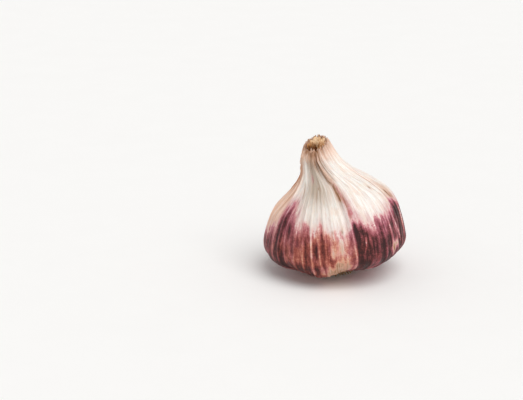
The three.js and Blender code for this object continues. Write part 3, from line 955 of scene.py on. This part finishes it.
def skin_material():
    """Papery skin: pale, with the purple over it, all streaked along the fibres."""
    n = Nodes(bpy.data.materials.new("papery_skin"))
    fibre = n.attribute("fibre", vector=True)
    grain = {name: n.grain(fibre, *row) for name, row in GRAINS.items()}
    threads = n.thin_lines(grain["thread"], THREAD_WIDTH)
    crackle = n.thin_lines(grain["crackle"], CRACKLE_WIDTH)

    density = purple_amount(n, grain, threads, crackle)
    purple = n.ramp(density, DENSITIES, PURPLES)
    brown = n.ramp(density, DENSITIES, BROWNS)
    tinted = n.mix(n.masked("warm", grain["blotch"], 0.6, 1.3), purple, brown)
    colour = n.mix(n.fit(density, 0.04, 0.24), pale_skin(n, grain, threads), tinted)
    colour = n.mix(n.fit(grain["grit"], 0.57, 0.72, 0.0, 0.28), colour, GRIT)

    roughness = n.fit(grain["streak"], 0.35, 0.65, 0.42, 0.6)
    normal = n.bump(grain["fine"], 0.3, 0.3)
    normal = n.bump(threads, -0.35, 0.12, normal)
    normal = n.bump(crackle, -0.3, 0.1, normal)
    normal = n.bump(grain["wrinkle"], 0.25, 0.3, normal)
    normal = n.bump(grain["grit"], 0.3, 0.1, normal)
    return n.finish(colour, roughness, normal, 0.25, SUBSURFACE)


def dried_material():
    """The fibrous inside of the neck, with painted shade that darkens it the deeper it lies."""
    n = Nodes(bpy.data.materials.new("dried_stalk"))
    place = n.attribute("place", vector=True)
    streak = n.grain(place, 3.0, 0.7, 4.0, 0.65)
    grit = n.noise(place, 4.0, 4.0, 0.7)
    stalk = n.mix(n.fit(streak, 0.35, 0.65), *STALK)
    bright = n.mix(n.fit(streak, 0.35, 0.65), *BRIGHT_STALK)
    gold = n.mix(n.attribute("gold"), stalk, bright)
    shade = n.mix(n.fit(grit, 0.3, 0.7), *SHADED_STALK)
    # Painted shade, the deeper in the neck and in its hollow
    colour = n.mix(n.attribute("deep"), gold, shade)
    return n.finish(colour, n.fit(grit, 0.3, 0.7, 0.7, 0.95), n.bump(streak, 0.7, 0.3), 0.25)


def cork_material():
    """Grainy cork, and roots, with painted shade up under the bulb and where the roots leave the plate.
    """
    n = Nodes(bpy.data.materials.new("cork_and_roots"))
    place = n.attribute("place", vector=True)
    grain = n.noise(place, 0.9, 5.0, 0.7)
    grit = n.noise(place, 5.0, 4.0, 0.7)
    colour = n.mix(n.fit(grain, 0.35, 0.65), *CORK)
    colour = n.mix(n.fit(grit, 0.5, 0.75, 0.0, 0.5), colour, CORK_GRIT)
    # Painted shade under the bulb
    colour = n.mix(n.attribute("deep"), colour, SHADED_CORK)
    normal = n.bump(grit, 0.6, 0.25, n.bump(grain, 0.6, 0.5))
    return n.finish(colour, n.fit(grit, 0.3, 0.7, 0.8, 0.97), normal, 0.2)


def floor_material():
    n = Nodes(bpy.data.materials.new("pale_floor"))
    mottle = n.noise(n.node("ShaderNodeTexCoord").outputs["Object"], 40.0)
    roughness = n.fit(mottle, 0.3, 0.7, 0.75, 0.85)
    return n.finish(n.mix(mottle, *FLOOR), roughness, n.bump(mottle, 0.05, 0.1), 0.2)


# The pieces


def skin_shell(shape):
    """The whole skin, closed below by the root hollow's roof and above by the cup in the neck."""
    azimuth = FOLD_AT + turns(COLUMNS)
    share = np.broadcast_to(np.linspace(0, 1, ROWS)[:, None], (ROWS, COLUMNS))
    skin = skin_surface(np.broadcast_to(azimuth, share.shape), share)
    under = [around(azimuth, radius, z) for radius, z in HOLLOW_RINGS]
    mouth = swayed(azimuth, NECK_TOP)
    inside = [neck_point(mouth, CUP_LIP, LIP_BELOW - torn(azimuth))]
    inside += [neck_point(mouth, radius, below) for radius, below in CUP_RINGS]
    points = np.concatenate([np.stack(under), skin, np.stack(inside)])
    rows = len(points)
    t = np.concatenate([np.zeros((len(under), COLUMNS)), share, np.ones((len(inside), COLUMNS))])
    values = skin_values(np.broadcast_to(azimuth, (rows, COLUMNS)), t)
    # Painted shade in the cup
    values["dirt"][-len(CUP_RINGS):] = CUP_SHADE
    shape.add(points, ring_faces(rows, COLUMNS), **values)


def sheet(shape, front, thickness, values):
    """A thin closed sheet behind a grid of points that runs upwards and to the right."""
    normal = np.cross(np.gradient(front, axis=1), np.gradient(front, axis=0))
    normal = normal / np.maximum(np.linalg.norm(normal, axis=-1, keepdims=True), 1e-9)
    rows, columns = front.shape[:2]
    faces = grid_faces(rows, columns, closed=False)
    behind = rows * columns
    faces = faces.tolist() + (faces[:, ::-1] + behind).tolist()
    across = np.arange(columns)
    up = np.arange(rows) * columns
    loop = [*across[::-1], *up[1:], *(up[-1] + across[1:]), *(up[::-1][1:] + columns - 1)]
    for a, b in zip(loop[:-1], loop[1:]):
        faces.append([int(a), int(b), int(b) + behind, int(a) + behind])
    doubled = {key: np.concatenate([value, value]) for key, value in values.items()}
    shape.add(np.concatenate([front, front - normal * thickness]), faces, **doubled)


def skin_flap(shape, index, root, reach, low, high, lift):
    """A loose margin: it lies on the skin at its root, and its torn free edge stands off."""
    s = np.linspace(0, 1, FLAP_ROWS)[:, None]
    u = np.linspace(0, 1, FLAP_COLUMNS)[None, :]
    t = low + (high - low) * s + 0 * u
    place = FLAP_LENGTH * s
    ragged = 0.75
    for seed, length, depth in FLAP_TEARS:
        ragged = ragged + depth * wander(place, seed + index, length)
    extent = np.sin(np.pi * s) ** FLAP_TAPER * ragged
    azimuth = root + reach * extent * u
    flutter = FLAP_FLUTTER * (wander(place, 321 + index, 5) - 0.5) * u
    curl = (lift + FLAP_SUNK) * u**FLAP_CURL * np.clip(extent, 0, 1) - FLAP_SUNK
    points = skin_surface(azimuth, t, curl + flutter)
    if reach < 0:
        points, azimuth, t, u = points[:, ::-1], azimuth[:, ::-1], t[:, ::-1], u[:, ::-1]
    values = skin_values(azimuth, t)
    edge = smooth(u + 0 * s, 0.45, 0.95)
    values["tan"] = np.maximum(values["tan"], 0.8 * edge)
    values["dirt"] = np.maximum(values["dirt"] * (1 - edge), 0.45 * smooth(u + 0 * s, 0.8, 1.0))
    sheet(shape, points, FLAP_THICKNESS, values)


def rim_shred(shape, i):
    """A frayed strip of skin at the neck's rim, which bends in or out."""
    azimuth = (i + 0.8 * draw(i, 331)) * 360 / SHREDS
    width = drawn(i, 332, *SHRED_WIDTH)
    tall = drawn(i, 333, *SHRED_HEIGHT)
    bend = drawn(i, 334, *SHRED_BEND)
    lean = drawn(i, 336, *SHRED_LEAN)
    s = np.linspace(0, 1, SHRED_ROWS)[:, None]
    u = np.linspace(-1, 1, SHRED_COLUMNS)[None, :]
    ragged = drawn(np.arange(SHRED_ROWS) + SHRED_ROWS * i, 335, 0.85, 1.15)[:, None]
    place = azimuth + lean * s + width / 2 * u * ragged * (1 - SHRED_TAPER * s**1.5)
    radius = NECK_RIM - SHRED_INSET + bend * s**1.6 + 0.15 * (1 - u**2) * s
    frayed = drawn(np.arange(SHRED_COLUMNS) + SHRED_COLUMNS * i, 337, -0.3, 0.3)[None, :]
    above = (SHRED_SUNK + tall + frayed) * s - SHRED_SUNK
    column = place - NECK_SWAY * bell(apart(place, FOLD_AT + NECK_SWAY), 0, SWAY_REACH)
    values = skin_values(column, np.full(place.shape, 0.97))
    values["dirt"] = np.broadcast_to(0.3 + 0.5 * draw(i, 338) * s, place.shape)
    values["tan"] = np.ones(place.shape)
    values["grey"] = np.zeros(place.shape)
    sheet(shape, neck_point(place, radius, -above), FLAP_THICKNESS, values)


def bulb_skin(material):
    shape = Shape()
    skin_shell(shape)
    for index, flap in enumerate(FLAPS):
        skin_flap(shape, index, *flap)
    for i in range(SHREDS):
        rim_shred(shape, i)
    shape.build("papery_skin", material, "bulb_wrapper")


def tube(shape, points, radii, sides, **values):
    """A round rod along these points, closed at both ends, with a value of each kind per point."""
    direction = np.gradient(points, axis=0)
    direction /= np.linalg.norm(direction, axis=1, keepdims=True)
    reference = np.array([0.3, 0.9, 0.1]) if abs(direction[0][2]) > 0.7 else np.array([0, 0, 1.0])
    side = np.cross(direction, reference)
    side /= np.linalg.norm(side, axis=1, keepdims=True)
    up = np.cross(side, direction)
    turn = np.radians(turns(sides))[None, :, None]
    ring = side[:, None] * np.cos(turn) + up[:, None] * np.sin(turn)
    rings = points[:, None] + radii[:, None, None] * ring
    repeated = {key: np.repeat(value, sides) for key, value in values.items()}
    place = np.repeat(points, sides, axis=0)
    shape.add(rings, ring_faces(len(points), sides), place=place, **repeated)


def high_side(azimuth, radius=CUP_RADIUS):
    """From 0 on the cut's low side to 1 on its high side."""
    return 0.5 - 0.5 * (radius / CUP_RADIUS) * np.cos(np.radians(azimuth - CUT_FACES))


def dark_hollow(azimuth, radius):
    """1 in the sunk hollow among the neck's leaf bases, painted dark as shade, and 0 outside it."""
    a = np.radians(azimuth)
    off = np.hypot(radius * np.sin(a) - HOLLOW_AT[0], -radius * np.cos(a) - HOLLOW_AT[1])
    return 1 - smooth(off, *HOLLOW_EDGE)


def core_mass(shape):
    """The crumpled mass in the neck: high and golden behind, with a hollow in front painted dark as
    shade.
    """
    azimuth = turns(CORE_COLUMNS)
    radius = np.linspace(0.02, CUP_RADIUS + CORE_MARGIN, CORE_RINGS)[::-1, None]
    a = np.radians(azimuth)
    x, y = radius * np.sin(a), radius * np.cos(a)
    away = high_side(azimuth, radius)
    folds = CORE_FOLDS * (scatter(x * 1.1 + 9, y * 1.1 + 4, 201) - 0.5)
    fray = CORE_FRAY * (scatter(x * 2.9 + 3, y * 2.9 + 8, 202) - 0.5)
    dark = dark_hollow(azimuth, radius)
    height = CORE_HEIGHT + CORE_RISE * smooth(away, 0.3, 0.8) + folds + fray - HOLLOW_DEPTH * dark
    height = np.maximum(height, CORE_MARGIN - CUP_DEPTH)
    points = neck_point(azimuth + 0 * radius, radius + 0 * azimuth, -height)
    # Painted shade: darker the lower the mass lies, and in the hollow
    deep = np.maximum(smooth(-height, 0.6, 1.7), 0.9 * dark)
    gold = smooth(away, *GOLDEN_SIDE) * (1 - dark)
    faces = ring_faces(CORE_RINGS, CORE_COLUMNS, bottom=False)
    shape.add(points, faces, place=points, deep=deep, gold=gold)


def core_sheath(shape, index, radius, lobes, low, high):
    """One dead leaf base, crumpled, and torn off lower towards the cut's low side."""
    azimuth = turns(CORE_COLUMNS)
    a = np.radians(azimuth)
    waves = (np.cos(lobes * a + index), np.cos((2 * lobes + 1) * a + 2 * index))
    crumple = SHEATH_CRUMPLE[0] * waves[0] + SHEATH_CRUMPLE[1] * waves[1]
    away = high_side(azimuth)
    frayed = drawn(np.arange(CORE_COLUMNS), 211 + index, -0.15, 0.15)
    tongues = 0.9 * (wander(azimuth, 221 + index, 9) - 0.5)
    split = 1.1 * smooth(wander(azimuth, 226 + index, 15), 0.7, 0.9)
    dark = dark_hollow(azimuth, radius + crumple)
    top = low + (high - low) * away + frayed + tongues - split - 0.5 * dark
    rings = []
    deep = []
    for inset, share in SHEATH_WALL:
        height = SHEATH_FOOT + (top - SHEATH_FOOT) * share
        rings.append(neck_point(azimuth, radius + crumple - inset, -height))
        # Painted shade: darker low down and in the hollow, the wall's top painted lit
        lit = 1 - 0.75 * smooth(share, 0.85, 1.0)
        deep.append(np.maximum(smooth(-height, 0.7, 1.6), dark * lit))
    gold = np.tile(smooth(away, *GOLDEN_SIDE) * (1 - dark), len(rings))
    points = np.stack(rings)
    faces = ring_faces(len(rings), CORE_COLUMNS, bottom=False, top=False)
    shape.add(points, faces, place=points, deep=np.stack(deep), gold=gold)


def core_fibre(shape, i):
    """One fibre that stands in the neck, longer and brighter on the cut's high side."""
    azimuth = 360 * draw(i, 231)
    radius = 0.4 + 3.3 * math.sqrt(draw(i, 232))
    away = high_side(azimuth, radius)
    reach = drawn(i, 233, *FIBRE_REACH) * (0.3 + 0.7 * away) - 0.9 * (1 - away)
    reach = 0.7 * reach - HOLLOW_DEPTH * dark_hollow(azimuth, radius)
    s = np.linspace(0, 1, FIBRE_ROWS)
    bend = drawn(i, 234, -11, 11) * s**2
    outward = np.minimum(radius + drawn(i, 235, -0.25, 0.65) * s**1.5, CUP_RADIUS + 0.1)
    height = FIBRE_FOOT + (reach - FIBRE_FOOT) * s
    points = neck_point(azimuth + bend, outward, -height)
    radii = drawn(i, 236, *FIBRE_RADIUS) * (1 - FIBRE_TAPER * s)
    gold = np.full(FIBRE_ROWS, away * draw(i, 237))
    # Painted shade: darker further down the fibre
    tube(shape, points, radii, FIBRE_SIDES, deep=smooth(-height, 0.5, 2.0), gold=gold)


def neck_core(material):
    shape = Shape()
    core_mass(shape)
    for index, sheath in enumerate(SHEATHS):
        core_sheath(shape, index, *sheath)
    for i in range(FIBRES):
        core_fibre(shape, i)
    shape.build("dried_fibres", material, "dried_neck_core")


def plate_disc(shape):
    """The cork disc: flat where the bulb stands on it, flared and rough above."""
    outline = np.array(PLATE_OUTLINE)
    steps = np.linspace(0, 1, PLATE_ROWS)[:, None]
    place = np.linspace(0, 1, len(outline))
    radius = np.interp(steps, place, outline[:, 0])
    z = np.interp(steps, place, outline[:, 1])
    azimuth = turns(PLATE_COLUMNS)[None, :] + 0 * steps
    rough = PLATE_ROUGHNESS * (around_noise(azimuth, steps, *CORK_BUMPS) - 0.5) * smooth(z, 0.05, 0.6)
    rings = around(azimuth, radius + rough, z)
    # Painted shade: darker higher up, under the bulb
    deep = np.broadcast_to(smooth(z, 1.0, 2.6), azimuth.shape)
    shape.add(rings, ring_faces(PLATE_ROWS, PLATE_COLUMNS), place=rings, deep=deep)


def plate_root(shape, ring, i, count, radius, lean, length, width):
    """One trimmed root, a little bent and cut off square."""
    azimuth = (i + drawn(i, 251 + ring, -0.3, 0.3)) * 360 / count
    tilt = math.radians(lean + drawn(i, 255 + ring, -8, 8))
    reach = length * drawn(i, 259 + ring, 0.75, 1.1)
    bend = drawn(i, 263 + ring, -2.5, 2.5)
    thick = width * drawn(i, 267 + ring, 0.8, 1.2) / 2
    s = np.linspace(0, 1, len(ROOT_TAPER))
    out = radius - ROOT_SUNK + reach * math.sin(tilt) * s
    z = np.maximum(ROOT_START - reach * math.cos(tilt) * s**1.15, ROOT_CLEARANCE + thick)
    points = around(azimuth + bend * s**2, out, z)
    # Painted shade: darker where the root leaves the plate, under the bulb
    tube(shape, points, thick * np.array(ROOT_TAPER), ROOT_SIDES, deep=0.5 * (1 - s))


def root_plate(material):
    shape = Shape()
    plate_disc(shape)
    for ring, (count, *sizes) in enumerate(ROOT_RINGS):
        for i in range(count):
            plate_root(shape, ring, i, count, *sizes)
    shape.build("corky_plate", material, "root_plate")


# Camera, light and floor


def place_camera():
    data = bpy.data.cameras.new("camera")
    data.lens = LENS
    data.sensor_width = SENSOR
    data.clip_start = NEAREST
    camera = placed("camera", data)
    camera.rotation_euler = (math.radians(90 - PITCH), 0, 0)
    camera.location = camera.rotation_euler.to_matrix() @ Vector((ASIDE, ABOVE, DISTANCE)) * MM
    bpy.context.scene.camera = camera


def even_sky():
    """A white sky whose strength goes by height."""
    n = Nodes(bpy.data.worlds.new("studio"))
    direction = n.node("ShaderNodeTexCoord").outputs["Generated"]
    height = n.node("ShaderNodeSeparateXYZ", {0: direction}).outputs["Z"]
    sky = n.tree.nodes["Background"]
    n.feed(sky.inputs["Color"], (1, 1, 1, 1))
    n.feed(sky.inputs["Strength"], n.fit(height, *HORIZON_BAND, HORIZON_STRENGTH, SKY_STRENGTH))
    bpy.context.scene.world = n.owner


def key_light():
    sun = bpy.data.lights.new("key", "SUN")
    sun.energy = KEY_STRENGTH
    sun.angle = math.radians(KEY_SOFTNESS)
    placed("key", sun).rotation_euler = Vector(KEY_FROM).to_track_quat("Z", "Y").to_euler()


def pale_floor():
    mesh = bpy.data.meshes.new("floor")
    corners = [(x * FLOOR_SIZE, y * FLOOR_SIZE, 0) for x, y in ((-1, -1), (1, -1), (1, 1), (-1, 1))]
    mesh.from_pydata(corners, [], [(0, 1, 2, 3)])
    mesh.materials.append(floor_material())
    placed("floor", mesh)


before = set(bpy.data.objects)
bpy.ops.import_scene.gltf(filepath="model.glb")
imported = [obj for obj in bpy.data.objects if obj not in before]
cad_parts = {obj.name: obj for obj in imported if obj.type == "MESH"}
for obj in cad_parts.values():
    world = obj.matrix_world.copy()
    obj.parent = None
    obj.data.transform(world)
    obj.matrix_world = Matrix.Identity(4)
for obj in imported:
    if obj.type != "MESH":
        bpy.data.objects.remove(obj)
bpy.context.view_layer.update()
place_camera()
even_sky()
key_light()
bpy.context.scene.view_settings.view_transform = "Standard"
pale_floor()
bulb_skin(skin_material())
neck_core(dried_material())
root_plate(cork_material())
